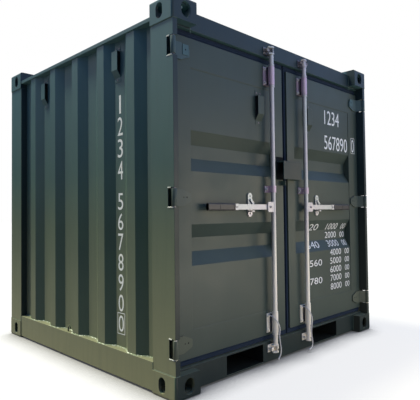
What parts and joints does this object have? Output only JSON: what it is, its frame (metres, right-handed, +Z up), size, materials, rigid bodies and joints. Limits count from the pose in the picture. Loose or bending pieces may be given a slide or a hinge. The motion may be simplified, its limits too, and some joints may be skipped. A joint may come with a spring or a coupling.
{
  "type": "small cube shipping container with double doors",
  "caption": "Cube-shaped steel storage container with corrugated walls, corner castings, fork pockets and double doors held by lock rods.",
  "frame": {"origin": "centre of the footprint on the ground", "axes": "+Z up, -Y towards the doors, +X to the right of someone who faces the doors"},
  "size_m": [1.95, 1.9348, 1.96],
  "materials": {
    "casting_paint": "semi-gloss dark green paint over cast steel",
    "frame_paint": "semi-gloss dark green paint over folded steel",
    "wall_paint": "semi-gloss dark green paint over pressed sheet",
    "door_paint": "semi-gloss dark green paint",
    "vent_paint": "dark green paint",
    "galvanised": "hot-dip galvanised, dull silver",
    "seal_rubber": "matt black rubber",
    "grip_plastic": "black moulded plastic",
    "plywood": "varnished plywood",
    "rope_fibre": "light grey braided rope"
  },
  "bodies": {
    "frame": {"front_bottom_castings": "casting_paint", "rear_bottom_castings": "casting_paint", "front_top_castings": "casting_paint", "rear_top_castings": "casting_paint", "door_post_left": "frame_paint", "door_post_right": "frame_paint", "rear_post_left": "frame_paint", "rear_post_right": "frame_paint", "door_header": "frame_paint", "door_sill": "frame_paint", "rear_header": "frame_paint", "rear_sill": "frame_paint", "top_side_rail_left": "frame_paint", "top_side_rail_right": "frame_paint", "bottom_side_rail_left": "frame_paint", "bottom_side_rail_right": "frame_paint", "hinge_lugs": "frame_paint", "fork_pocket_left": "frame_paint", "fork_pocket_right": "frame_paint", "floor_cross_members": "frame_paint", "side_wall_left": "wall_paint", "side_wall_right": "wall_paint", "rear_wall": "wall_paint", "roof_panel": "wall_paint", "wall_vents": "vent_paint", "floor_deck": "plywood", "cam_keepers": "galvanised", "tie_back_hooks": "galvanised", "hinge_pins": "galvanised"},
    "left_door": {"left_leaf_frame": "door_paint", "left_leaf_panel": "door_paint", "left_leaf_seal": "seal_rubber", "left_hinge_blades": "door_paint", "left_rod_bearings": "galvanised", "left_door_vent": "vent_paint", "left_handle_catch": "galvanised", "left_tie_rope": "rope_fibre", "lock_lug": "door_paint"},
    "right_door": {"right_leaf_frame": "door_paint", "right_leaf_panel": "door_paint", "right_leaf_seal": "seal_rubber", "right_hinge_blades": "door_paint", "right_rod_bearings": "galvanised", "right_door_vent": "vent_paint", "right_handle_catch": "galvanised", "right_tie_rope": "rope_fibre", "lock_box": "door_paint"},
    "left_rod": {"left_lock_rod": "galvanised"},
    "right_rod": {"right_lock_rod": "galvanised"},
    "left_handle": {"left_handle_bar": "galvanised", "left_handle_grip": "grip_plastic"},
    "right_handle": {"right_handle_bar": "galvanised", "right_handle_grip": "grip_plastic"}
  },
  "joints": [
    {"name": "right_door_hinge", "type": "hinge", "parent": "frame", "child": "right_door", "pos_m": [0.961, -0.946, 0.97], "axis": [0, 0, -1], "range_deg": [-265, 0]},
    {"name": "left_door_hinge", "type": "hinge", "parent": "frame", "child": "left_door", "pos_m": [-0.961, -0.946, 0.97], "axis": [0, 0, 1], "range_deg": [-265, 0]},
    {"name": "left_rod_turn", "type": "hinge", "parent": "left_door", "child": "left_rod", "pos_m": [-0.174, -0.936, 0.97], "axis": [0, 0, 1], "range_deg": [0, 100]},
    {"name": "right_rod_turn", "type": "hinge", "parent": "right_door", "child": "right_rod", "pos_m": [0.174, -0.936, 0.97], "axis": [0, 0, -1], "range_deg": [0, 100]},
    {"name": "left_handle_lift", "type": "hinge", "parent": "left_rod", "child": "left_handle", "pos_m": [-0.214, -0.936, 0.925], "axis": [0, 1, 0], "range_deg": [0, 25]},
    {"name": "right_handle_lift", "type": "hinge", "parent": "right_rod", "child": "right_handle", "pos_m": [0.214, -0.936, 0.925], "axis": [0, -1, 0], "range_deg": [0, 25]}
  ],
  "couplings": [
    {"joint": "left_door_hinge", "follows": "right_door_hinge", "ratio": 1}
  ]
}
